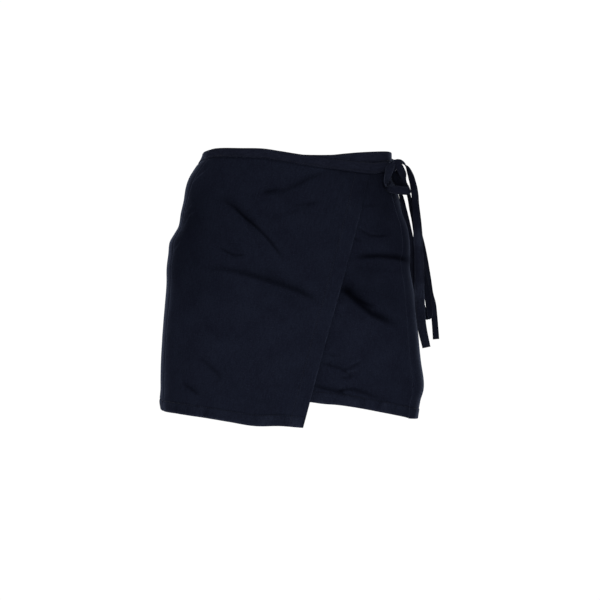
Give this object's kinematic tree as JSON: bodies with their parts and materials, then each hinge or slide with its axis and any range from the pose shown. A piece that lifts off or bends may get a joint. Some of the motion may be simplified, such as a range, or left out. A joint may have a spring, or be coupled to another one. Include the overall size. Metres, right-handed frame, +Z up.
{
  "type": "wrap skirt",
  "caption": "Short wrap skirt in dark twill, with a slanting front edge, a narrow waistband and a bow of flat ties at one side, in its worn hollow form.",
  "frame": {"origin": "middle of the waist opening, at half the waistband's height at the sides, where the wearer's waist holds the skirt", "axes": "+Z up out of the waist, -Y towards the front, +X towards the wearer's left, where the bow is"},
  "size_m": [0.4041, 0.2597, 0.3932],
  "materials": {
    "panel_twill": "dark blue cotton twill, matt, slightly faded at turned edges",
    "band_twill": "the same twill, topstitched",
    "tie_twill": "the same twill, folded into flat straps"
  },
  "bodies": {
    "root": {"back_panel": "panel_twill", "under_panel": "panel_twill", "over_panel": "panel_twill", "waistband": "band_twill", "tie_lead": "tie_twill", "tie_side": "tie_twill", "tie_knot": "tie_twill", "tie_loop_short": "tie_twill", "tie_loop_long": "tie_twill", "tie_tail_front": "tie_twill", "tie_tail_back": "tie_twill"}
  },
  "joints": []
}
